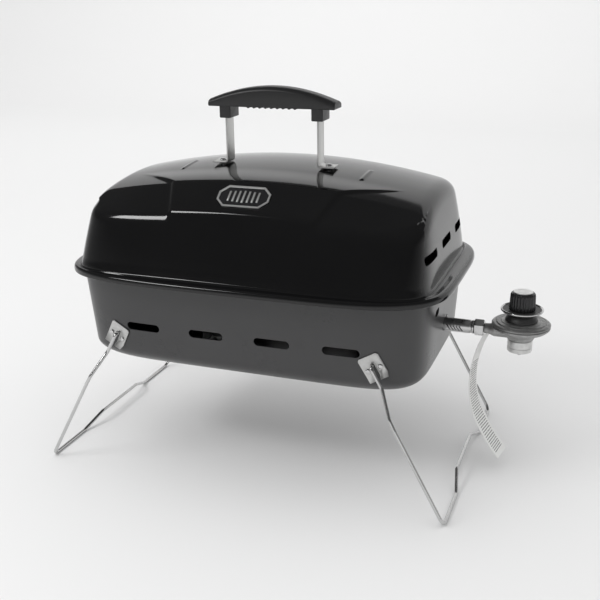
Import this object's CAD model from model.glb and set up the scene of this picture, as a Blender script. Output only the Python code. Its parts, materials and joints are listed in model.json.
import json
from math import atan2, cos, pi, radians, sin, sqrt

import bmesh
import bpy
import numpy as np
from mathutils import Matrix, Vector


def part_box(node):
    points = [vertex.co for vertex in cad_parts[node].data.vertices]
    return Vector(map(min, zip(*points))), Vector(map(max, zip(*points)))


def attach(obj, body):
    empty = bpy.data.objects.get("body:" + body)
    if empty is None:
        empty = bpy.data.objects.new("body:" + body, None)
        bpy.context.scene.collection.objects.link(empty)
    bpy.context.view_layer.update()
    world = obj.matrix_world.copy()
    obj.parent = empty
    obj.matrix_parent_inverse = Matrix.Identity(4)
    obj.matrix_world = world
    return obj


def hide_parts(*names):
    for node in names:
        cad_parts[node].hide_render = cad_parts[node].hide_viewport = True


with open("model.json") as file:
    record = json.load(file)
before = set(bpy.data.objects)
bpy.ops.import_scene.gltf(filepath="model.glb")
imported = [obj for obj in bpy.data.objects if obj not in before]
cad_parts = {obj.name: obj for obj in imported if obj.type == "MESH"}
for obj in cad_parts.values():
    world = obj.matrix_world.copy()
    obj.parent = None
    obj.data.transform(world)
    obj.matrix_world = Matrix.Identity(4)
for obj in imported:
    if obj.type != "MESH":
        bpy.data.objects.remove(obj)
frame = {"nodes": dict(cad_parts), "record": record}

scene = bpy.context.scene
nodes = frame["nodes"]
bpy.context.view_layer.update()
lidLow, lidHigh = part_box("lid")
midX = (lidLow.x + lidHigh.x) / 2          # middle of the rim, which every grill shape is measured from
rimX, rimY = (lidHigh.x - lidLow.x) / 2, lidHigh.y
rimZ = 0.236
burnerZ = rimZ - 0.065
rimPower = 4.7
bowlPower = 7.1


# camera, at the viewing angle that the grill is usually shown from
def makeCamera():
    view = {"azimuth": 20.31, "elevation": 19.207, "distance": 1.09155, "lens": 55.0,
            "target": (0.02817, 0.0, 0.18024), "roll": -0.733}
    az, el = radians(view["azimuth"]), radians(view["elevation"])
    back = Vector((sin(az) * cos(el), -cos(az) * cos(el), sin(el)))
    target = Vector(view["target"]) + Vector((midX, 0, 0))
    data = bpy.data.cameras.new("camera")
    data.lens = view["lens"]
    data.sensor_width = 36.0
    camera = bpy.data.objects.new("camera", data)
    scene.collection.objects.link(camera)
    right = Vector((0, 0, 1)).cross(back).normalized()
    up = back.cross(right)
    roll = radians(view["roll"])
    turned = right * cos(roll) + up * sin(roll)
    upward = up * cos(roll) - right * sin(roll)
    camera.matrix_world = Matrix.Translation(target + back * view["distance"]) @ Matrix(
        (turned, upward, back)).transposed().to_4x4()
    scene.camera = camera


makeCamera()
print("camera placed")


# shader node groups, shared by the materials
def newGroup(name, takes, gives):
    group = bpy.data.node_groups.new(name, "ShaderNodeTree")
    for label, kind, value in takes:
        group.interface.new_socket(label, in_out="INPUT", socket_type=kind).default_value = value
    for label, kind in gives:
        group.interface.new_socket(label, in_out="OUTPUT", socket_type=kind)
    return group, group.nodes.new("NodeGroupInput"), group.nodes.new("NodeGroupOutput")


def wire(tree, pairs):
    for start, end in pairs:
        tree.links.new(start, end)


def noiseNode(tree, scale, detail=3.0, rough=0.55):
    node = tree.nodes.new("ShaderNodeTexNoise")
    node.inputs["Scale"].default_value = scale
    node.inputs["Detail"].default_value = detail
    node.inputs["Roughness"].default_value = rough
    return node


def mathNode(tree, operation, value=0.5):
    node = tree.nodes.new("ShaderNodeMath")
    node.operation = operation
    node.inputs[1].default_value = value
    return node


def vectorScale(tree, value=(1, 1, 1)):
    node = tree.nodes.new("ShaderNodeVectorMath")
    node.operation = "MULTIPLY"
    node.inputs[1].default_value = value
    return node


firstColour, secondColour, mixedColour = 6, 7, 2       # a Mix node's colour sockets


def colourMix(tree):
    node = tree.nodes.new("ShaderNodeMix")
    node.data_type = "RGBA"
    return node


def makeFinishGroup():
    # slow cloudiness and fine grain: a tint, a roughness and a height that vary over the surface
    takes = [("Colour", "NodeSocketColor", (0.5, 0.5, 0.5, 1)),
             ("Second Colour", "NodeSocketColor", (0.4, 0.4, 0.4, 1)),
             ("Roughness", "NodeSocketFloat", 0.4), ("Roughness Spread", "NodeSocketFloat", 0.1),
             ("Cloud Scale", "NodeSocketFloat", 30.0), ("Grain Scale", "NodeSocketFloat", 900.0),
             ("Stretch", "NodeSocketVector", (1, 1, 1))]
    gives = [("Colour", "NodeSocketColor"), ("Roughness", "NodeSocketFloat"), ("Grain", "NodeSocketFloat")]
    group, take, give = newGroup("finishVariation", takes, gives)
    place, stretch, mix = group.nodes.new("ShaderNodeTexCoord"), vectorScale(group), colourMix(group)
    cloud, grain = noiseNode(group, 30), noiseNode(group, 900, 2)
    both, centred = mathNode(group, "MULTIPLY_ADD"), mathNode(group, "SUBTRACT")
    spread = mathNode(group, "MULTIPLY_ADD")
    wire(group, [(place.outputs["Object"], stretch.inputs[0]), (take.outputs["Stretch"], stretch.inputs[1]),
                 (stretch.outputs[0], cloud.inputs["Vector"]), (stretch.outputs[0], grain.inputs["Vector"]),
                 (take.outputs["Cloud Scale"], cloud.inputs["Scale"]),
                 (take.outputs["Grain Scale"], grain.inputs["Scale"]),
                 (cloud.outputs["Fac"], mix.inputs["Factor"]),
                 (take.outputs["Colour"], mix.inputs[firstColour]),
                 (take.outputs["Second Colour"], mix.inputs[secondColour]),
                 (mix.outputs[mixedColour], give.inputs["Colour"]),
                 (grain.outputs["Fac"], both.inputs[0]), (cloud.outputs["Fac"], both.inputs[2]),
                 (both.outputs[0], centred.inputs[0]), (centred.outputs[0], spread.inputs[0]),
                 (take.outputs["Roughness Spread"], spread.inputs[1]),
                 (take.outputs["Roughness"], spread.inputs[2]),
                 (spread.outputs[0], give.inputs["Roughness"]), (grain.outputs["Fac"], give.inputs["Grain"])])
    return group


finishGroup = makeFinishGroup()


def makeFinish(name, look):
    # one Principled material whose colour, roughness and relief come from the shared group
    made = bpy.data.materials.new(name)
    made.use_nodes = True
    tree = made.node_tree
    shader = tree.nodes["Principled BSDF"]
    shader.inputs["Metallic"].default_value = look.get("metallic", 0.0)
    shader.inputs["IOR"].default_value = look.get("ior", 1.5)
    shader.inputs["Coat Weight"].default_value = look.get("coat", 0.0)
    shader.inputs["Coat Roughness"].default_value = look.get("coatRoughness", 0.03)
    finish = tree.nodes.new("ShaderNodeGroup")
    finish.node_tree = finishGroup
    finish.inputs["Colour"].default_value = (*look["colour"], 1)
    finish.inputs["Second Colour"].default_value = (*look["second"], 1)
    finish.inputs["Roughness"].default_value = look["roughness"]
    finish.inputs["Roughness Spread"].default_value = look.get("spread", 0.08)
    finish.inputs["Cloud Scale"].default_value = look.get("cloud", 30.0)
    finish.inputs["Grain Scale"].default_value = look.get("grain", 900.0)
    finish.inputs["Stretch"].default_value = look.get("stretch", (1, 1, 1))
    bump = tree.nodes.new("ShaderNodeBump")
    bump.inputs["Strength"].default_value = look.get("relief", 0.1)
    bump.inputs["Distance"].default_value = look.get("depth", 0.0002)
    wire(tree, [(finish.outputs["Colour"], shader.inputs["Base Color"]),
                (finish.outputs["Roughness"], shader.inputs["Roughness"]),
                (finish.outputs["Grain"], bump.inputs["Height"]),
                (bump.outputs["Normal"], shader.inputs["Normal"])])
    return made


finishes = {
    "glossEnamel": {
        "colour": (0.003, 0.003, 0.0032), "second": (0.005, 0.005, 0.0053), "roughness": 0.085,
        "spread": 0.03, "cloud": 14, "grain": 420, "relief": 0.03, "depth": 0.00005},
    "satinEnamel": {
        "colour": (0.033, 0.033, 0.034), "second": (0.041, 0.041, 0.042), "roughness": 0.27,
        "spread": 0.06, "cloud": 16, "grain": 1500, "relief": 0.10, "depth": 0.00006},
    "gripNylon": {
        "colour": (0.007, 0.007, 0.0075), "second": (0.011, 0.011, 0.0115), "roughness": 0.36,
        "spread": 0.08, "grain": 2600, "relief": 0.35, "depth": 0.0001},
    "knobPlastic": {
        "colour": (0.008, 0.008, 0.009), "second": (0.012, 0.012, 0.013), "roughness": 0.22,
        "grain": 1800, "relief": 0.08, "depth": 0.00005},
    "strapSteel": {
        "colour": (0.70, 0.70, 0.69), "second": (0.56, 0.56, 0.55), "roughness": 0.34, "metallic": 1.0,
        "spread": 0.16, "cloud": 60, "grain": 2400, "stretch": (1, 1, 0.08), "relief": 0.2},
    "brightWire": {
        "colour": (0.66, 0.66, 0.66), "second": (0.50, 0.50, 0.50), "roughness": 0.14, "metallic": 1.0,
        "spread": 0.10, "cloud": 90, "grain": 1200, "relief": 0.08, "depth": 0.00008},
    "zincPlate": {
        "colour": (0.62, 0.62, 0.61), "second": (0.44, 0.44, 0.435), "roughness": 0.30, "metallic": 1.0,
        "spread": 0.18, "cloud": 160, "grain": 1500, "relief": 0.25, "depth": 0.0001},
    "castZinc": {
        "colour": (0.46, 0.46, 0.455), "second": (0.24, 0.24, 0.238), "roughness": 0.36, "metallic": 0.9,
        "spread": 0.26, "cloud": 240, "grain": 1300, "relief": 0.6, "depth": 0.00035},
    "nickelSocket": {
        "colour": (0.74, 0.74, 0.73), "second": (0.50, 0.50, 0.495), "roughness": 0.30, "metallic": 0.9,
        "spread": 0.2, "cloud": 200, "grain": 1200, "relief": 0.35, "depth": 0.0002},
    "darkMetal": {
        "colour": (0.045, 0.045, 0.045), "second": (0.09, 0.09, 0.09), "roughness": 0.36, "metallic": 0.6,
        "spread": 0.2, "cloud": 120, "grain": 1300, "relief": 0.3},
    "capAluminium": {
        "colour": (0.82, 0.82, 0.81), "second": (0.72, 0.72, 0.71), "roughness": 0.34, "metallic": 0.9,
        "spread": 0.1, "cloud": 300, "grain": 2600, "stretch": (1, 0.05, 1), "relief": 0.15},
    "gratePlating": {
        "colour": (0.58, 0.58, 0.57), "second": (0.42, 0.42, 0.41), "roughness": 0.28, "metallic": 1.0,
        "spread": 0.15, "cloud": 90, "grain": 900, "relief": 0.15},
    "burnerSteel": {
        "colour": (0.50, 0.49, 0.47), "second": (0.38, 0.36, 0.34), "roughness": 0.36, "metallic": 1.0,
        "spread": 0.18, "cloud": 50, "grain": 1500, "relief": 0.2},
    "tagPaper": {
        "colour": (0.78, 0.78, 0.77), "second": (0.72, 0.72, 0.71), "roughness": 0.6, "spread": 0.08,
        "cloud": 80, "grain": 2000, "relief": 0.1, "depth": 0.00005},
    "heatPlateEnamel": {
        "colour": (0.030, 0.030, 0.031), "second": (0.045, 0.044, 0.043), "roughness": 0.42,
        "spread": 0.15, "cloud": 40, "grain": 1200, "relief": 0.3},
}
looks = {name: makeFinish(name, look) for name, look in finishes.items()}
print("materials ready:", len(looks))


# helpers for meshes
def smoothed(piece, angle):
    piece.data.shade_smooth()
    piece.data.set_sharp_from_angle(angle=radians(angle))
    return piece


def putIn(name, bm, look, body, stands=(), smoothAngle=32):
    mesh = bpy.data.meshes.new(name)
    bm.to_mesh(mesh)
    bm.free()
    mesh.materials.append(looks[look])
    piece = smoothed(bpy.data.objects.new(name, mesh), smoothAngle)
    scene.collection.objects.link(piece)
    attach(piece, body)
    if stands:
        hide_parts(*stands)
    return piece


def settle(piece):
    # leaves the modifiers' result as the piece's own mesh
    bpy.context.view_layer.update()
    done = bpy.data.meshes.new_from_object(piece.evaluated_get(bpy.context.evaluated_depsgraph_get()))
    piece.modifiers.clear()
    piece.data = done
    return piece


def thickened(piece, thick, offset=-1):
    sheet = piece.modifiers.new("sheet", "SOLIDIFY")
    sheet.thickness = thick
    sheet.offset = offset
    return settle(piece)


def superReach(angle, power):
    return (abs(cos(angle)) ** power + abs(sin(angle)) ** power) ** (-1 / power)


def evenAngles(reachX, reachY, power, count):
    # polar angles that space points evenly along a rounded-rectangle outline
    fine = np.linspace(0, 2 * pi, 20001)
    reach = (np.abs(np.cos(fine)) ** power + np.abs(np.sin(fine)) ** power) ** (-1 / power)
    x, y = reachX * reach * np.cos(fine), reachY * reach * np.sin(fine)
    along = np.concatenate([[0], np.cumsum(np.hypot(np.diff(x), np.diff(y)))])
    return np.interp(np.arange(count) / count * along[-1], along, fine)


def facedOut(bm):
    bmesh.ops.recalc_face_normals(bm, faces=bm.faces)
    return bm


def lathe(profile, steps=96):
    # spins (radius, height) points about Z into a closed shape
    bm = bmesh.new()
    line = [bm.verts.new((radius, 0, z)) for radius, z in profile]
    edges = [bm.edges.new(pair) for pair in zip(line, line[1:])]
    bmesh.ops.spin(bm, geom=line + edges, cent=(0, 0, 0), axis=(0, 0, 1), dvec=(0, 0, 0), angle=2 * pi,
                   steps=steps, use_merge=True)
    bmesh.ops.remove_doubles(bm, verts=bm.verts, dist=1e-6)
    return facedOut(bm)


def softened(profile, reach, steps=3):
    # rounds the inner corners of a profile
    path = [Vector(p) for p in profile]
    made = [path[0]]
    for before, corner, after in zip(path, path[1:], path[2:]):
        one, two = before - corner, after - corner
        cut = min(reach, one.length * 0.45, two.length * 0.45)
        start, end = corner + one.normalized() * cut, corner + two.normalized() * cut
        for k in range(steps + 1):
            t = k / steps
            made.append(start * (1 - t) ** 2 + corner * 2 * t * (1 - t) + end * t * t)
    return [tuple(p) for p in made + [path[-1]]]


def moved(bm, x=0.0, y=0.0, z=0.0, turn=None):
    matrix = Matrix.Translation((x, y, z)) @ (turn or Matrix())
    bmesh.ops.transform(bm, matrix=matrix, verts=bm.verts)
    return bm


def merged(parts):
    # joins several bmeshes into one
    whole = bmesh.new()
    for part in parts:
        mesh = bpy.data.meshes.new("part")
        part.to_mesh(mesh)
        part.free()
        whole.from_mesh(mesh)
        bpy.data.meshes.remove(mesh)
    return whole


def block(size):
    # box of the given size round the origin
    bm = bmesh.new()
    bmesh.ops.create_cube(bm, size=1.0)
    bmesh.ops.scale(bm, vec=size, verts=bm.verts)
    return bm


def uprights(bm):
    return [e for e in bm.edges if abs(e.verts[0].co.z - e.verts[1].co.z) > 0.0005]


def rounded(bm, edges, reach, segments, clamp=False):
    bmesh.ops.bevel(bm, geom=edges, offset=reach, offset_type="OFFSET", segments=segments, profile=0.5,
                    affect="EDGES", clamp_overlap=clamp, material=-1)
    return bm


def skinned(bm, rings):
    # one closed surface through matching rings of vertices
    for near, far in zip(rings, rings[1:]):
        for k in range(len(near)):
            m = (k + 1) % len(near)
            bm.faces.new((near[k], near[m], far[m], far[k]))
    bm.faces.new(rings[0][::-1])
    bm.faces.new(rings[-1])
    return facedOut(bm)


def slotTool(length, height, deep, steps=10):
    # long hole with round ends, as a cutter along X
    bm = bmesh.new()
    bmesh.ops.create_circle(bm, cap_ends=True, segments=4 * steps, radius=height / 2)
    for v in bm.verts:
        v.co.x += (length - height) / 2 * (1 if v.co.x > 0 else -1)
    made = bmesh.ops.extrude_face_region(bm, geom=list(bm.faces))
    raised = [v for v in made["geom"] if isinstance(v, bmesh.types.BMVert)]
    bmesh.ops.translate(bm, vec=(0, 0, deep), verts=raised)
    bmesh.ops.translate(bm, vec=(0, 0, -deep / 2), verts=bm.verts)
    return facedOut(bm)


def cutWith(piece, tools, operation="DIFFERENCE"):
    # one boolean with all the tools, which are then removed
    mesh = bpy.data.meshes.new("cutter")
    whole = merged(tools)
    whole.to_mesh(mesh)
    whole.free()
    cutter = bpy.data.objects.new("cutter", mesh)
    scene.collection.objects.link(cutter)
    modifier = piece.modifiers.new("cut", "BOOLEAN")
    modifier.solver = "EXACT"
    modifier.operation = operation
    modifier.object = cutter
    settle(piece)
    bpy.data.objects.remove(cutter)
    return piece


def ringOut(bm, edges, shape):
    # extrudes a loop of edges and sends each new vertex where shape(vertex) says
    made = bmesh.ops.extrude_edge_only(bm, edges=edges)
    newVerts = {v for v in made["geom"] if isinstance(v, bmesh.types.BMVert)}
    for v in newVerts:
        v.co = shape(v)
    return [e for e in made["geom"] if isinstance(e, bmesh.types.BMEdge)
            and e.verts[0] in newVerts and e.verts[1] in newVerts]


# the lid: pressed sheet with a front shoulder, a crowned top and a raised panel
lidForm = {
    "wallX": rimX - 0.0178, "wallY": rimY - 0.0140, "power": 8.0,
    "endDraft": (0.10, 0.55), "rearDraft": (0.26, 0.4), "frontDraft": (0.36, 0.5),
    "frontLow": 0.0395 - rimY, "frontHigh": 0.0795 - rimY, "rear": rimY - 0.0565, "rearSlope": 1.48,
    "lowRise": 0.066, "highRise": 0.0955, "rearRise": 0.1035, "bulge": 0.0075,
    "panelLow": 0.0833, "panelHigh": 0.0986, "panelRaise": 0.0030, "panelSide": 0.007, "panelFade": 0.045,
    "creaseRound": 0.016, "panelCreaseRound": 0.007, "ridgeRound": 0.0035, "endRound": 0.021,
    "rearRound": 0.020, "sheet": 0.0016, "markX": 0.1085, "markHalf": 0.018, "markWide": 0.0034,
    "markRaise": 0.0011, "ventLength": 0.044, "ventHeight": 0.0095, "ventCorner": 0.0038, "ventPitch": 0.070,
    "ventX": 0.1985, "ventRise": 0.033, "countX": 196, "countY": 122, "countZ": 30}


def stepSmooth(t):
    t = np.clip(t, 0, 1)
    return t * t * (3 - 2 * t)


def blendMax(a, b, room):
    room = np.maximum(room, 1e-6)
    return np.maximum(a, b) + np.clip(room - np.abs(a - b), 0, None) ** 2 / (4 * room)


def lidTop(x, y):
    f = lidForm
    share = (y - f["frontHigh"]) / (f["rear"] - f["frontHigh"])
    inner = np.clip(share, 0, 1)
    crown = (0.017 + 0.0035 * inner) * (x / (0.81 * rimX)) ** 2
    return rimZ + f["highRise"] + (f["rearRise"] - f["highRise"]) * share + f["bulge"] * (
        1 - (2 * share - 1) ** 2) - crown


def lidField(p):
    # below zero inside the lid, above zero outside, nearly a distance
    f = lidForm
    x, y, z = p[:, 0], p[:, 1], p[:, 2]
    rise = z - rimZ
    end, rear, front = [straight * rise + curved * rise ** 2 for straight, curved in (
        f["endDraft"], f["rearDraft"], f["frontDraft"])]
    a = f["wallX"] - end
    b = f["wallY"] - np.where(y > 0, rear, front)
    u, v = np.abs(x) / a, np.abs(y) / b
    size = (u ** f["power"] + v ** f["power"]) ** (1 / f["power"])
    wall = np.hypot(x, y) * (1 - 1 / np.maximum(size, 1e-6)) * 0.96
    normalX, normalY = u ** (f["power"] - 1) / a, v ** (f["power"] - 1) / b * np.sign(y)
    long = np.hypot(normalX, normalY) + 1e-9
    normalX, normalY = normalX / long, normalY / long
    lowZ = rimZ + f["lowRise"] - 0.0067 * (x / (0.765 * rimX)) ** 2
    highZ = lidTop(x, f["frontHigh"])
    slope = (highZ - lowZ) / (f["frontHigh"] - f["frontLow"])
    tilt = np.sqrt(1 + slope ** 2)
    widening = (f["panelHigh"] - f["panelLow"]) * (y - f["frontLow"]) / (f["frontHigh"] - f["frontLow"])
    half = f["panelLow"] + widening
    behind = np.clip(y - f["frontHigh"], 0, None)
    half = half + 1.1 * behind
    inPanel = stepSmooth((half - np.abs(x)) / f["panelSide"] + 0.5)
    panel = inPanel * (1 - stepSmooth(behind / f["panelFade"]))
    lift = f["panelRaise"] * panel
    front = (z - lowZ - slope * (y - f["frontLow"])) / tilt - lift
    along = np.clip(np.abs(y) - f["markHalf"], 0, None)
    mark = 1 - stepSmooth(np.hypot(np.abs(x) - f["markX"], along) / f["markWide"])
    top = (z - lidTop(x, y)) * 0.99 - lift - f["markRaise"] * mark
    rear = (z - lidTop(x, f["rear"]) + f["rearSlope"] * (y - f["rear"])) * 0.56

    def room(cosine, radius):
        angle = np.arccos(np.clip(cosine, -1, 1))
        return radius * np.sin(angle) * np.tan(angle / 2)

    wallUp = 0.25
    level = sqrt(1 - wallUp ** 2)
    withFront = wallUp / tilt - level * normalY * slope / tilt
    outward = np.abs(x) / rimX
    shape = blendMax(wall, top, room(wallUp + 0.1 * outward, f["endRound"]))
    shape = blendMax(shape, rear, room(np.full_like(x, 0.62), f["rearRound"]))
    crease = f["creaseRound"] + (f["panelCreaseRound"] - f["creaseRound"]) * inPanel
    frontRoom = np.where(wall > top, room(withFront, crease), room(1 / tilt, f["ridgeRound"]))
    return blendMax(shape, front, frontRoom)


def spacing(low, high, count, spots):
    # positions from low to high, closer together round each (place, width, density) spot
    fine = np.linspace(low, high, 4001)
    weight = np.ones_like(fine)
    for place, width, dense in spots:
        weight += dense * np.exp(-((fine - place) / width) ** 2)
    total = np.concatenate([[0], np.cumsum((weight[1:] + weight[:-1]) / 2)])
    return np.interp(np.linspace(0, total[-1], count), total, fine)


def makeLid():
    f = lidForm
    bm = bmesh.new()
    bmesh.ops.create_cube(bm, size=1.0)
    bmesh.ops.translate(bm, vec=(0, 0, 0.5), verts=bm.verts)
    bmesh.ops.delete(bm, geom=[face for face in bm.faces if face.normal.z < -0.5], context="FACES_ONLY")
    for axis, cuts in ((0, f["countX"]), (1, f["countY"]), (2, f["countZ"])):
        lines = [e for e in bm.edges if abs(e.verts[0].co[axis] - e.verts[1].co[axis]) > 1e-4]
        bmesh.ops.subdivide_edges(bm, edges=lines, cuts=cuts, use_grid_fill=True)
    # the box's own grid is drawn closer where the creases will be
    boxX, boxY, boxZ = 0.199, 0.121, 0.1035
    levelsX = spacing(-boxX, boxX, f["countX"] + 2,
                      [(s * c, 0.008, 0.9) for s in (-1, 1) for c in (f["markX"], f["panelHigh"] - 0.004)])
    levelsY = spacing(-boxY, boxY, f["countY"] + 2, [(-0.0705, 0.006, 2.2), (0.096, 0.012, 0.6)])
    levelsZ = spacing(0, boxZ, f["countZ"] + 2, [(0.0805, 0.006, 4.0), (0.101, 0.010, 1.6)])
    unit = [np.linspace(-0.5, 0.5, f["countX"] + 2), np.linspace(-0.5, 0.5, f["countY"] + 2),
            np.linspace(0, 1, f["countZ"] + 2)]
    co = np.array([v.co for v in bm.verts])
    box = np.stack([np.interp(co[:, k], unit[k], levels)
                    for k, levels in enumerate((levelsX, levelsY, levelsZ))], 1)
    centre = np.array([0.0, 0.0, rimZ])
    low, high = np.zeros(len(box)), np.full(len(box), 2.0)
    for _ in range(34):
        half = (low + high) / 2
        outside = lidField(centre + box * half[:, None]) > 0
        low, high = np.where(outside, low, half), np.where(outside, half, high)
    shape = centre + box * ((low + high) / 2)[:, None]
    for v, p in zip(bm.verts, shape):
        v.co = p
    # flange: fillet, step bead and curled skirt, each ring a share of the way out to the rim
    turn = bm.verts.layers.float.new("turn")
    edges = [e for e in bm.edges if len(e.link_faces) == 1]
    for e in edges:
        for v in e.verts:
            v[turn] = atan2(v.co.y / f["wallY"], v.co.x / f["wallX"])
            v.co.z = rimZ + 0.0026
    profile = [(0.020, 0.0019), (0.055, 0.0010), (0.095, 0.0006), (0.13, 0.0008), (0.165, 0.0012),
               (0.20, 0.0012), (0.235, 0.0008), (0.28, 0.0002), (0.34, 0.0), (0.58, -0.0001),
               (0.76, -0.0004), (0.86, -0.0010), (0.93, -0.0019), (0.975, -0.0032), (0.993, -0.0048),
               (0.998, -0.0062), (0.98, -0.0072), (0.94, -0.0075)]
    for share, rise in profile:
        def place(v, share=share, rise=rise):
            angle = v[turn]
            near, far = superReach(angle, f["power"]), superReach(angle, rimPower)
            inX, inY = f["wallX"] * near * cos(angle), f["wallY"] * near * sin(angle)
            outX, outY = rimX * far * cos(angle), rimY * far * sin(angle)
            return Vector((inX + (outX - inX) * share, inY + (outY - inY) * share, rimZ + rise))
        edges = ringOut(bm, edges, place)
    facedOut(bm)
    moved(bm, midX)
    lid = putIn("lidShell", bm, "glossEnamel", "lid", ["lid"])
    thickened(lid, f["sheet"])
    tools = []
    endward = Matrix.Rotation(pi / 2, 4, "Z") @ Matrix.Rotation(pi / 2, 4, "X")
    for side in (-1, 1):
        for k in (-1, 0, 1):
            tool = block((f["ventLength"], f["ventHeight"], 0.03))
            rounded(tool, uprights(tool), f["ventCorner"], 6)
            x, y, z = midX + side * f["ventX"], k * f["ventPitch"], rimZ + f["ventRise"]
            tools.append(moved(tool, x, y, z, endward))
    return smoothed(cutWith(lid, tools), 32)


lidShell = makeLid()
print("lid shaped:", len(lidShell.data.polygons), "faces")


def makeEmblem():
    # plain framed plate with a row of grate bars, on the raised panel
    plate = {"length": 0.060, "height": 0.0290, "thick": 0.0011, "corner": 0.009, "frame": 0.0022,
             "sunk": 0.0006, "bars": 7, "barPitch": 0.0056, "barWidth": 0.0022, "barThick": 0.0008}
    low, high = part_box("lid_badge")
    slope = atan2((high.z - low.z), (high.y - low.y))
    centre = Vector(((low.x + high.x) / 2, (low.y + high.y) / 2, (low.z + high.z) / 2))
    outline = block((plate["length"], plate["height"], plate["thick"]))
    rounded(outline, uprights(outline), plate["corner"], 1)
    field = [face for face in outline.faces if face.normal.z > 0.9]
    bmesh.ops.inset_region(outline, faces=field, thickness=plate["frame"], depth=0.0)
    bmesh.ops.inset_region(outline, faces=field, thickness=0.0003, depth=-plate["sunk"])
    for face in field:
        face.material_index = 1
    parts = [outline]
    for k in range(plate["bars"]):
        step = k - (plate["bars"] - 1) / 2
        bar = block((plate["barWidth"], plate["height"] * (0.56 - 0.030 * abs(step)), plate["barThick"]))
        rounded(bar, list(bar.edges), 0.0003, 2)
        parts.append(moved(bar, step * plate["barPitch"], 0, 0.0001))
    whole = moved(merged(parts), *centre, Matrix.Rotation(slope, 4, "X"))
    emblem = putIn("emblemPlate", whole, "capAluminium", "lid", ["lid_badge"], 25)
    emblem.data.materials.append(looks["knobPlastic"])


makeEmblem()
print("emblem placed")


# the bowl: deep drawn wall, rounded floor, rolled lip
bowlForm = {
    "wallX": rimX - 0.01675, "wallY": rimY - 0.0195, "draftX": 0.060, "draftY": 0.085, "floor": rimZ - 0.125,
    "floorRise": 0.032, "floorRun": 0.080, "sheet": 0.0016, "points": 560, "lip": 0.0034,
    "ventLength": 0.0412, "ventHeight": 0.0095, "ventPitch": 0.078, "ventZ": rimZ - 0.0645,
    "lightLength": 0.017, "lightHeight": 0.0085, "lightY": -0.052, "lightZ": rimZ - 0.0335,
    "tubeHole": 0.0084}


def bowlReach(z):
    f = bowlForm
    drop = rimZ - 0.008 - z
    lift = max(0.0, min(1.0, (f["floor"] + f["floorRise"] - z) / f["floorRise"]))
    curve = f["floorRun"] * (1 - sqrt(1 - lift * lift))
    return f["wallX"] - f["draftX"] * drop - curve, f["wallY"] - f["draftY"] * drop - curve


def makeBowl():
    f = bowlForm
    angles = evenAngles(f["wallX"], f["wallY"], bowlPower, f["points"])
    top = rimZ - 0.0019
    bm = bmesh.new()
    bmesh.ops.create_circle(bm, cap_ends=False, segments=f["points"], radius=1.0)
    bm.verts.ensure_lookup_table()
    turn = bm.verts.layers.float.new("turn")
    lipX, lipY = rimX - f["lip"], rimY - f["lip"]
    for v, angle in zip(bm.verts, angles):
        v[turn] = angle
        reach = superReach(angle, rimPower)
        v.co = (lipX * reach * cos(angle), lipY * reach * sin(angle), top - 0.0016)
    edges = list(bm.edges)
    wallX, wallY = bowlReach(top)
    rings = [(lipX, lipY, top - 0.0005, rimPower), (lipX - 0.0006, lipY - 0.0006, top, rimPower)]
    rings += [(wallX + (lipX - wallX) * s, wallY + (lipY - wallY) * s, top,
               rimPower + (bowlPower - rimPower) * (1 - s)) for s in (0.66, 0.33)]
    rings += [(wallX + out, wallY + out, top - down, bowlPower)
              for out, down in ((0.0016, 0.0002), (0.0003, 0.0009))]
    heights = [rimZ - 0.0045, rimZ - 0.02, rimZ - 0.04, rimZ - 0.06, rimZ - 0.078]
    heights += [f["floor"] + f["floorRise"] * (1 - sin(pi / 2 * k / 22)) for k in range(23)]
    rings += [(*bowlReach(z), z, bowlPower) for z in heights]
    floorX, floorY = bowlReach(f["floor"])
    rings += [(floorX * s, floorY * s, f["floor"], bowlPower) for s in (0.75, 0.5, 0.25, 0.02)]
    for reachX, reachY, z, power in rings:
        def place(v, reachX=reachX, reachY=reachY, z=z, power=power):
            reach = superReach(v[turn], power)
            return Vector((reachX * reach * cos(v[turn]), reachY * reach * sin(v[turn]), z))
        edges = ringOut(bm, edges, place)
    bmesh.ops.contextual_create(bm, geom=edges)
    facedOut(bm)
    if sum(face.normal.z for face in bm.faces if face.calc_center_median().z < f["floor"] + 0.001) > 0:
        bmesh.ops.reverse_faces(bm, faces=bm.faces)
    moved(bm, midX)
    bowl = putIn("bowlShell", bm, "satinEnamel", "bowl", ["firebox"])
    thickened(bowl, f["sheet"])
    tools = []
    facing = Matrix.Rotation(pi / 2, 4, "X")
    endward = Matrix.Rotation(pi / 2, 4, "Z") @ facing
    ventX, ventY = bowlReach(f["ventZ"])
    for side in (-1, 1):
        for k in range(4):
            x = (k - 1.5) * f["ventPitch"]
            y = side * ventY * (1 - (abs(x) / ventX) ** bowlPower) ** (1 / bowlPower)
            vent = slotTool(f["ventLength"], f["ventHeight"], 0.03)
            tools.append(moved(vent, midX + x, y, f["ventZ"], facing))
    wallX = bowlReach(burnerZ)[0]
    light = slotTool(f["lightLength"], f["lightHeight"], 0.03)
    tools.append(moved(light, midX + wallX, f["lightY"], f["lightZ"], endward))
    hole = lathe([(0, -0.02), (f["tubeHole"], -0.02), (f["tubeHole"], 0.02), (0, 0.02)], 48)
    tools.append(moved(hole, midX + wallX, 0, burnerZ, endward))
    return smoothed(cutWith(bowl, tools), 32)


bowlShell = makeBowl()
print("bowl shaped:", len(bowlShell.data.polygons), "faces")


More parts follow.
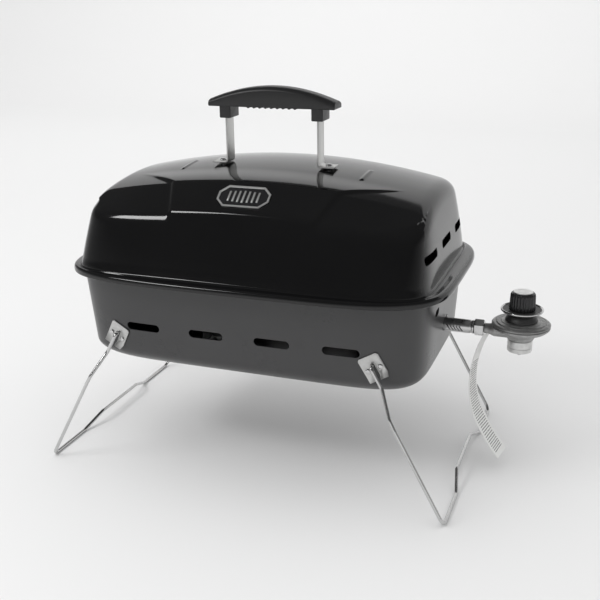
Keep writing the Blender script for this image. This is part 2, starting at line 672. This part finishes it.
# the handle: moulded grip with a ribbed underside, and its two straps
def makeGrip():
    f = {"endHeight": 0.0075, "arch": 0.0155, "depth": 0.026, "bossAt": 0.055, "bossLength": 0.0135,
         "strapThick": 0.0026, "strapWide": 0.0196,
         "bossDrop": 0.013, "ribs": 9, "ribPitch": 0.007, "ribRadius": 0.0022, "ribHalf": 0.0085,
         "domeRise": 0.0056, "domeRun": 0.0085, "edge": 0.0012}
    low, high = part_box("handle_grip")
    f["half"] = (high.x - low.x) / 2
    baseZ = low.z + f["bossDrop"]
    stations = list(np.arange(-0.0335, 0.03351, 0.0005))
    stations += [side * x for side in (-1, 1) for x in np.linspace(0.0345, f["half"] - f["edge"], 30)]
    stations += [side * (f["half"] - f["edge"] * (1 - sin(pi / 2 * k / 4)))
                 for side in (-1, 1) for k in range(1, 5)]
    bm = bmesh.new()
    rings = []
    for x in sorted(stations):
        inset = f["edge"] - sqrt(max(0.0, f["edge"] ** 2 - max(0.0, abs(x) - f["half"] + f["edge"]) ** 2))
        top = f["endHeight"] + f["arch"] * (1 - (x / f["half"]) ** 2) - inset
        half = f["depth"] / 2 - inset
        run, rise = f["domeRun"], min(f["domeRise"], 0.55 * top)
        rib = 0.0
        for k in range(f["ribs"]):
            off = abs(x - (k - (f["ribs"] - 1) / 2) * f["ribPitch"])
            if off < f["ribRadius"]:
                rib = max(rib, sqrt(f["ribRadius"] ** 2 - off ** 2) - 0.0006)
        section = [(-half + 0.001, inset), (-half + 0.0003, inset + 0.0003), (-half, inset + 0.001)]
        section += [(-half + run * (1 - cos(pi / 2 * k / 8)), top - rise * (1 - sin(pi / 2 * k / 8)))
                    for k in range(9)]
        section += [(-y, z) for y, z in section[::-1]]
        section += [(y, inset - rib * (abs(y) <= f["ribHalf"])) for y in
                    (0.0098, 0.0085, 0.006, 0.003, 0, -0.003, -0.006, -0.0085, -0.0098)]
        rings.append([bm.verts.new((x, y, z)) for y, z in section])
    centreX = (low.x + high.x) / 2
    grip = putIn("gripMoulding", moved(skinned(bm, rings), centreX, 0, baseZ), "gripNylon", "lid",
                 ["handle_grip"], 40)
    bosses, slots = [], []
    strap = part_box("handle_strap_left")[1].z
    for side in (-1, 1):
        boss = block((f["bossLength"], f["depth"] - 0.001, f["bossDrop"] + 0.004))
        rounded(boss, list(boss.edges), 0.0013, 4)
        bosses.append(moved(boss, centreX + side * f["bossAt"], 0, baseZ - f["bossDrop"] / 2 + 0.002))
        slot = block((f["strapThick"], f["strapWide"], 0.02))
        slots.append(moved(slot, centreX + side * f["bossAt"], 0, strap + 0.0003 - 0.01))
    cutWith(grip, bosses, "UNION")
    smoothed(cutWith(grip, slots), 40)


def refined(name, source, look, body, edge, segments=2):
    # bevelled copy of frame nodes
    bm = bmesh.new()
    for node in source:
        bm.from_mesh(nodes[node].data)
    placed = nodes[source[0]].matrix_world
    bmesh.ops.transform(bm, matrix=placed, verts=bm.verts)
    bmesh.ops.remove_doubles(bm, verts=bm.verts, dist=1e-6)
    flat = [e for e in bm.edges if len(e.link_faces) == 2 and e.calc_face_angle(0) < radians(1)]
    bmesh.ops.dissolve_limit(bm, angle_limit=radians(1), verts=bm.verts, edges=flat)
    sharp = [e for e in bm.edges if len(e.link_faces) == 2 and e.calc_face_angle(0) > radians(40)]
    rounded(bm, sharp, edge, segments, True)
    return putIn(name, bm, look, body, source, 40)


makeGrip()
for side in ("left", "right"):
    word = side.capitalize()
    refined("strap" + word, ["handle_strap_" + side], "strapSteel", "lid", 0.0004)
    refined("footScrew" + word, ["strap_rivet_" + side], "brightWire", "lid", 0.0003)
print("handle made")


# the legs: bright wire bent round each end, in stamped plates
def arced(corners, radii, steps=10):
    # replaces each inner corner of a path by an arc
    path = [Vector(corners[0])]
    for k in range(1, len(corners) - 1):
        corner = Vector(corners[k])
        before = (Vector(corners[k - 1]) - corner).normalized()
        after = (Vector(corners[k + 1]) - corner).normalized()
        half = before.angle(after) / 2
        centre = corner + (before + after).normalized() * (radii[k] / sin(half))
        reach = radii[k] * cos(half) / sin(half)
        first = (corner + before * reach - centre).normalized()
        last = (corner + after * reach - centre).normalized()
        path += [centre + first.slerp(last, n / steps) * radii[k] for n in range(steps + 1)]
    return path + [Vector(corners[-1])]


def sweep(path, radius, sides=20):
    # round bar along a path, its section turned as little as possible
    bm = bmesh.new()
    side = Vector((1, 0, 0))
    rings = []
    for k, point in enumerate(path):
        along = (path[min(k + 1, len(path) - 1)] - path[max(k - 1, 0)]).normalized()
        side = (side - along * side.dot(along)).normalized()
        other = along.cross(side)
        turns = [2 * pi * n / sides for n in range(sides)]
        rings.append([bm.verts.new(point + (side * cos(turn) + other * sin(turn)) * radius)
                      for turn in turns])
    return skinned(bm, rings)


def makeLegs():
    w = {"radius": 0.002, "spread": 0.087, "tilt": 0.117, "plate": 0.0012, "plateHalf": 0.012,
         "clear": 0.0003, "bar": 0.0139, "out": 0.001}
    for side, word in ((-1, "left"), (1, "right")):
        joints = frame["record"]["behaviour"]["joints"]
        pivot = [j["pos_m"] for j in joints if j["name"] == "leg_" + word + "_fold"][0]
        drop = pivot[2] - w["radius"]
        length = sqrt(w["spread"] ** 2 + drop ** 2)
        legX, legZ = w["spread"] / length, -drop / length
        reachX, reachY = bowlReach(pivot[2])
        wallY = reachY * (1 - (abs(pivot[0] - midX) / reachX) ** bowlPower) ** (1 / bowlPower)
        lean = w["tilt"] * legX - bowlForm["draftY"] * legZ
        runY = wallY + 2 * w["clear"] + w["plate"] + lean * w["plateHalf"] + 0.0018 + w["radius"]
        upright = rimY + w["out"]
        corners = [(0, wallY - 0.010), (0, runY), (0.026, runY), (0.054, upright - 0.0025),
                   (0.066, upright - 0.0012), (length, upright), (length, upright - 0.068),
                   (length - w["bar"], upright - 0.102)]
        bends = [0, 0.004, 0.012, 0.008, 0.02, 0.009, 0.012, 0.012]
        corners = [(s, -y) for s, y in corners] + [(s, y) for s, y in corners[::-1]]
        path = arced([(side * legX * s, y, legZ * s) for s, y in corners], bends + bends[::-1])
        wireBody = moved(sweep(path, w["radius"]), *pivot)
        putIn("wireLeg" + word.capitalize(), wireBody, "brightWire", "leg_" + word,
              ["leg_" + word], 50)
    for end in ("front_left", "front_right", "rear_left", "rear_right"):
        word = "".join(part.capitalize() for part in end.split("_"))
        refined("plate" + word, ["leg_bracket_" + end], "zincPlate", "bowl", 0.00025)
        for number in ("1", "2"):
            refined("rivet" + word + number, ["bracket_rivet_" + end + "_" + number], "brightWire", "bowl",
                    0.0004)


makeLegs()
print("legs and plates made")


# the gas inlet: venturi tube, nut, cast regulator, dial and fluted knob
regulatorLow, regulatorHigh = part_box("regulator_cover")
dialX = (regulatorLow.x + regulatorHigh.x) / 2
jointZ = regulatorLow.z
alongX = Matrix.Rotation(pi / 2, 4, "Y")


def turned(name, profile, look, body, slot, stands, x, z, reach=0.0004, turn=None, steps=96):
    solid = moved(lathe(softened(profile, reach), steps), x, 0, z, turn)
    return putIn(name, solid, look, body, stands, 50)


def makeRegulator():
    r = regulatorHigh.x - dialX
    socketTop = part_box("cylinder_socket")[1].z
    low = socketTop - jointZ + 0.0003
    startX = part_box("regulator_body")[0].x
    arm = {"length": regulatorLow.x - startX + 0.017, "neck": 0.0058, "bulge": 0.0080}
    body = turned("regulatorCasting", [
        (0, low), (0.0141, low), (0.0150, low + 0.0018), (0.0171, low + 0.005), (0.0220, -0.0078),
        (r - 0.0042, -0.0058), (r - 0.0030, -0.0052), (r - 0.0012, -0.0036), (r, -0.0024), (r, -0.0002),
        (0, -0.0002)], "castZinc", "bowl", "cast_zinc", ["regulator_body"], dialX, jointZ, 0.0008)
    neck = [(0, 0), (arm["neck"] - 0.0005, 0), (arm["neck"], 0.0006), (arm["neck"], 0.0050),
            (arm["bulge"], 0.0110), (arm["bulge"], arm["length"] + 0.0065), (0, arm["length"] + 0.0065)]
    cutWith(body, [moved(lathe(softened(neck, 0.001), 64), startX, 0, burnerZ, alongX)], "UNION")
    smoothed(body, 50)
    turned("regulatorCover", [
        (0, 0.0001), (r - 0.0006, 0.0001), (r + 0.0001, 0.0006), (r + 0.0002, 0.0016), (r - 0.0014, 0.0030),
        (r - 0.0036, 0.0034), (r - 0.0043, 0.0028), (r - 0.0055, 0.0041), (r - 0.0085, 0.0044),
        (r - 0.0092, 0.0040), (r - 0.0104, 0.0049), (0.0186, 0.0052), (0, 0.0052)],
        "castZinc", "bowl", "cast_zinc", ["regulator_cover"], dialX, jointZ)
    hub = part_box("valve_bonnet")
    tall = hub[1].z - hub[0].z
    turned("hubDome", [
        (0, 0), (0.0176, 0), (0.0177, 0.0008), (0.0171, 0.0024), (0.0152, 0.0050), (0.0128, 0.0070),
        (0.0118, 0.0080), (0.0116, tall), (0, tall)],
        "darkMetal", "bowl", "dark_metal", ["valve_bonnet"], dialX, hub[0].z, 0.0012)
    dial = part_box("dial_plate")
    w = dial[1].x - dialX
    dialBody = turned("dialFlange", [
        (0, 0), (w - 0.0040, 0), (w - 0.0010, 0.0008), (w, 0.0021), (w - 0.0001, 0.0033),
        (w - 0.0008, 0.0038), (w - 0.0018, 0.0034), (w - 0.0026, 0.0025), (0.0155, 0.0022), (0, 0.0022)],
        "brightWire", "bowl", "bright_chrome", ["dial_plate"], dialX, dial[0].z, 0.0005)
    dialBody.data.materials.append(looks["darkMetal"])
    for face in dialBody.data.polygons:
        at = face.center
        if face.normal.z > 0.5 and sqrt((at.x - dialX) ** 2 + at.y ** 2) < w - 0.0023:
            face.material_index = 1
    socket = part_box("cylinder_socket")
    deep = socket[1].z - socket[0].z
    inner = 0.01205
    turned("socketNut", [
        (inner, 0.0001), (0.0130, 0), (0.0136, 0.0007), (0.0136, 0.0048), (0.0133, 0.0051), (0.0136, 0.0054),
        (0.0136, deep - 0.0003), (0.0132, deep), (0.004, deep), (0.004, deep - 0.0012),
        (inner, deep - 0.0012), (inner, 0.0001)],
        "nickelSocket", "bowl", "nickel_socket", ["cylinder_socket"], dialX, socket[0].z, 0.0003)


def makeKnob():
    k = {"flutes": 24, "perFlute": 10, "depth": 0.0009, "topRadius": 0.0135, "cap": 0.0105}
    low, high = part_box("control_knob")
    tall, base, top = high.z - low.z, high.x - dialX, k["topRadius"]
    count = k["flutes"] * k["perFlute"]
    bm = bmesh.new()
    rings = []
    levels = [(0, 0.2, 0.0006), (0.0003, 0.6, 0.0002), (0.0008, 1, 0), (tall * 0.35, 1, 0),
              (tall * 0.7, 1, 0), (tall - 0.0030, 1, 0), (tall - 0.0018, 0.75, 0.0003),
              (tall - 0.0009, 0.4, 0.0008), (tall - 0.0003, 0.12, 0.0014), (tall, 0, 0.0022)]
    for z, share, inset in levels:
        radius = base + (top - base) * z / tall - inset
        ring = []
        for n in range(count):
            angle = 2 * pi * n / count
            hollow = (0.5 - 0.5 * cos(k["flutes"] * angle)) ** 1.6
            reach = radius - k["depth"] * share * hollow
            ring.append(bm.verts.new((reach * cos(angle), reach * sin(angle), z)))
        rings.append(ring)
    knob = moved(skinned(bm, rings), dialX, 0, low.z)
    putIn("knobBody", knob, "knobPlastic", "knob", ["control_knob"], 45)
    capLow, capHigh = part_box("knob_cap")
    up = capHigh.z - capLow.z
    turned("knobDisc", [
        (0, 0), (k["cap"], 0), (k["cap"], up * 0.6), (k["cap"] - 0.0004, up), (0.0062, up),
        (0.0058, up - 0.0002), (0.0054, up), (0, up)],
        "capAluminium", "knob", "brushed_aluminium", ["knob_cap"], dialX, capLow.z, 0.0002)


def makeTube():
    slots = {"count": 5, "thick": 0.0016, "height": 0.0075, "pitch": 0.0034, "fromEnd": 0.0340 - 0.006,
             "below": 0.001, "lean": -35}
    low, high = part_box("venturi_tube")
    r, length = high.y, high.x - low.x
    tube = turned("venturiTube", [
        (r - 0.001, 0), (r - 0.0001, 0), (r, 0.0004), (r, length - 0.0044), (r - 0.0006, length - 0.0038),
        (r - 0.0006, length - 0.0026), (r, length - 0.0020), (r, length - 0.0005), (r - 0.0003, length),
        (r - 0.001, length), (r - 0.001, 0)],
        "brightWire", "bowl", "bright_chrome", ["venturi_tube"], low.x, burnerZ, 0.0003, alongX, 72)
    lean = Matrix.Rotation(radians(slots["lean"]), 4, "Y")
    tools = []
    for k in range(slots["count"]):
        x = high.x - slots["fromEnd"] + k * slots["pitch"]
        slot = block((slots["thick"], 0.03, slots["height"]))
        tools.append(moved(slot, x, 0, burnerZ - slots["below"], lean))
    smoothed(cutWith(tube, tools), 50)
    refined("couplingNut", ["coupling_nut"], "brightWire", "nut", 0.0004, 3)
    refined("shutterPin", ["shutter_pin"], "brightWire", "bowl", 0.0003)


makeRegulator()
makeKnob()
makeTube()
print("gas inlet made")


def makeTag():
    # paper tag hung round the neck; thin ruled lines stand for its print
    t = {"width": 0.024, "thick": 0.0004, "lean": 25, "yaw": 20, "across": 10, "steps": 10}
    top = burnerZ - 0.0058 - 0.0003
    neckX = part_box("regulator_body")[0].x + 0.35 * 0.0078
    route = [(0, 0), (-0.0060, -0.0145), (-0.0110, -0.0345), (-0.0128, -0.0545), (-0.0113, -0.0742),
             (-0.0063, -0.0937), (0.0028, -0.1126), (0.0141, -0.1310), (0.0253, -0.1455)]
    points = [Vector((neckX + x, 0, top + z)) for x, z in route]
    ends = [points[0] * 2 - points[1]] + points + [points[-1] * 2 - points[-2]]
    middle = [points[0]]
    for a, b, c, d in zip(ends, ends[1:], ends[2:], ends[3:]):
        for k in range(1, t["steps"] + 1):
            s = k / t["steps"]
            middle.append(0.5 * (2 * b + (c - a) * s + (2 * a - 5 * b + 4 * c - d) * s * s
                                 + (3 * b - a - 3 * c + d) * s ** 3))
    bm = bmesh.new()
    rows = []
    for k, point in enumerate(middle):
        share = k / (len(middle) - 1)
        along = (middle[min(k + 1, len(middle) - 1)] - middle[max(k - 1, 0)]).normalized()
        lean = radians(t["lean"]) * min(1.0, 1.6 * share)
        yaw = radians(t["yaw"]) * (1 - share)
        across = Vector((sin(yaw) * cos(lean), cos(yaw) * cos(lean), sin(lean)))
        half = t["width"] / 2 * (0.72 + 0.28 * min(1.0, 2 * share))
        across = (across - along * across.dot(along)).normalized() * half
        rows.append([bm.verts.new(point + across * (2 * n / t["across"] - 1))
                     for n in range(t["across"] + 1)])
    printed = bm.loops.layers.uv.new("print")
    for k, (near, far) in enumerate(zip(rows, rows[1:])):
        for n in range(t["across"]):
            face = bm.faces.new((near[n], near[n + 1], far[n + 1], far[n]))
            for loop, (u, v) in zip(face.loops, ((n, k), (n + 1, k), (n + 1, k + 1), (n, k + 1))):
                loop[printed].uv = (u / t["across"], v / (len(middle) - 1))
    facedOut(bm)
    tag = putIn("paperTag", bm, "tagPaper", "bowl", ["hang_tag"], 60)
    smoothed(thickened(tag, t["thick"], 0), 50)
    return tag


def makePaper():
    # rows of short grey dashes across the lower two thirds of the tag
    paper = makeFinish("printedPaper", finishes["tagPaper"])
    tree = paper.node_tree
    shader = tree.nodes["Principled BSDF"]
    place = tree.nodes.new("ShaderNodeUVMap")
    place.uv_map = "print"
    lines = tree.nodes.new("ShaderNodeTexWave")
    lines.wave_type = "BANDS"
    lines.bands_direction = "Y"
    lines.inputs["Scale"].default_value = 17.0
    words = noiseNode(tree, 30.0, 1)
    stretch = vectorScale(tree, (1.0, 4.0, 1.0))
    parts = tree.nodes.new("ShaderNodeSeparateXYZ")
    limits = {"line": ("GREATER_THAN", 0.72), "word": ("GREATER_THAN", 0.40), "left": ("GREATER_THAN", 0.12),
              "right": ("LESS_THAN", 0.88), "start": ("GREATER_THAN", 0.24), "end": ("LESS_THAN", 0.96)}
    tests = {name: mathNode(tree, operation, value) for name, (operation, value) in limits.items()}
    ink = tests["line"].outputs[0]
    for name in ("word", "left", "right", "start", "end"):
        both = mathNode(tree, "MULTIPLY")
        wire(tree, [(ink, both.inputs[0]), (tests[name].outputs[0], both.inputs[1])])
        ink = both.outputs[0]
    mix = colourMix(tree)
    mix.inputs[secondColour].default_value = (0.16, 0.16, 0.16, 1)
    colour = shader.inputs["Base Color"].links[0].from_socket
    wire(tree, [(place.outputs[0], lines.inputs["Vector"]), (place.outputs[0], stretch.inputs[0]),
                (stretch.outputs[0], words.inputs["Vector"]), (place.outputs[0], parts.inputs[0]),
                (lines.outputs["Fac"], tests["line"].inputs[0]),
                (words.outputs["Fac"], tests["word"].inputs[0]),
                (parts.outputs["X"], tests["left"].inputs[0]), (parts.outputs["X"], tests["right"].inputs[0]),
                (parts.outputs["Y"], tests["start"].inputs[0]), (parts.outputs["Y"], tests["end"].inputs[0]),
                (colour, mix.inputs[firstColour]), (ink, mix.inputs["Factor"]),
                (mix.outputs[mixedColour], shader.inputs["Base Color"])])
    return paper


makeTag().data.materials[0] = makePaper()
print("tag hung")


# materials for the frame's own nodes
nodeLooks = {
    "brightWire": ["strap_rivet", "bracket_rivet", "burner_screw", "shutter_pin", "depressor_pin",
                   "coupling_nut", "venturi_tube", "leg_left", "leg_right", "dial_plate"],
    "zincPlate": ["leg_bracket", "grate_rest", "burner_bracket"],
    "strapSteel": ["handle_strap"],
    "gripNylon": ["handle_grip"],
    "knobPlastic": ["control_knob"],
    "capAluminium": ["knob_cap", "lid_badge"],
    "castZinc": ["regulator_body", "regulator_cover"],
    "darkMetal": ["valve_bonnet"],
    "nickelSocket": ["cylinder_socket"],
    "gratePlating": ["cooking_grate"],
    "burnerSteel": ["burner_tube"],
    "tagPaper": ["hang_tag"],
    "heatPlateEnamel": ["heat_plate"],
}
for look, starts in nodeLooks.items():
    for name, node in nodes.items():
        if any(name.startswith(start) for start in starts):
            node.data.materials.clear()
            node.data.materials.append(looks[look])


# floor, backdrop and lights
def makeStudio():
    studio = {"half": 5, "sweep": 2.6, "rise": 3.2, "round": 1.2, "steps": 16, "tone": (0.80, 0.80, 0.80)}
    bm = bmesh.new()
    start = [bm.verts.new((side * studio["half"], -studio["half"], 0)) for side in (-1, 1)]
    edges = [bm.edges.new(start)]
    bends = [pi / 2 * k / studio["steps"] for k in range(studio["steps"] + 1)]
    path = [(studio["sweep"] + studio["round"] * sin(a), studio["round"] * (1 - cos(a))) for a in bends]
    path.append((studio["sweep"] + studio["round"], studio["rise"]))
    for y, z in path:
        def place(v, y=y, z=z):
            return Vector((v.co.x, y, z))
        edges = ringOut(bm, edges, place)
    facedOut(bm)
    mesh = bpy.data.meshes.new("backdrop")
    bm.to_mesh(mesh)
    bm.free()
    mesh.shade_smooth()
    paper = bpy.data.materials.new("backdropPaper")
    paper.use_nodes = True
    shader = paper.node_tree.nodes["Principled BSDF"]
    shader.inputs["Base Color"].default_value = (*studio["tone"], 1)
    shader.inputs["Roughness"].default_value = 0.9
    shader.inputs["Specular IOR Level"].default_value = 0.1
    mesh.materials.append(paper)
    backdrop = bpy.data.objects.new("backdrop", mesh)
    scene.collection.objects.link(backdrop)


def addLight(name, place, aim, size, power, sizeY=None, seen=True):
    data = bpy.data.lights.new(name, "AREA")
    data.shape = "RECTANGLE"
    data.size, data.size_y = size, sizeY or size
    data.energy = power
    light = bpy.data.objects.new(name, data)
    scene.collection.objects.link(light)
    light.location = place
    light.rotation_euler = (Vector(aim) - Vector(place)).to_track_quat("-Z", "Y").to_euler()
    light.visible_glossy = seen


makeStudio()
lights = {
    "softboxLeft": {"place": (-1.45, -1.4, 1.9), "aim": (-0.1, 0, 0.3), "size": 0.9, "sizeY": 0.5,
                    "power": 16},
    "overhead": {"place": (-0.5, -0.4, 2.6), "aim": (0, 0, 0), "size": 2.2, "power": 14, "seen": False},
    "backdropWash": {"place": (-1.2, 1.6, 2.6), "aim": (-1.4, 3.7, 1.2), "size": 3.2, "sizeY": 0.8,
                     "power": 24, "seen": False},
}
for name, light in lights.items():
    addLight(name, **light)


def makeWorld():
    # pale low down all round, dark overhead, so that only low reflections are bright
    world = bpy.data.worlds.new("studioWorld")
    scene.world = world
    world.use_nodes = True
    tree = world.node_tree
    place = tree.nodes.new("ShaderNodeTexCoord")
    parts = tree.nodes.new("ShaderNodeSeparateXYZ")
    ramp = tree.nodes.new("ShaderNodeValToRGB")
    stops = ramp.color_ramp.elements
    stops[0].color, stops[-1].color = (0.60, 0.60, 0.60, 1), (0.12, 0.12, 0.12, 1)
    for position, tone in ((0.12, 0.34), (0.35, 0.09)):
        stops.new(position).color = (tone, tone, tone, 1)
    rays = tree.nodes.new("ShaderNodeLightPath")
    mix = colourMix(tree)
    mix.inputs[firstColour].default_value = (0.84, 0.84, 0.84, 1)
    wire(tree, [(place.outputs["Generated"], parts.inputs[0]), (parts.outputs["Z"], ramp.inputs["Fac"]),
                (rays.outputs["Is Glossy Ray"], mix.inputs["Factor"]),
                (ramp.outputs["Color"], mix.inputs[secondColour]),
                (mix.outputs[mixedColour], tree.nodes["Background"].inputs["Color"])])
    tree.nodes["Background"].inputs["Strength"].default_value = 1.0


makeWorld()
scene.view_settings.view_transform = "Standard"
print("studio lit")
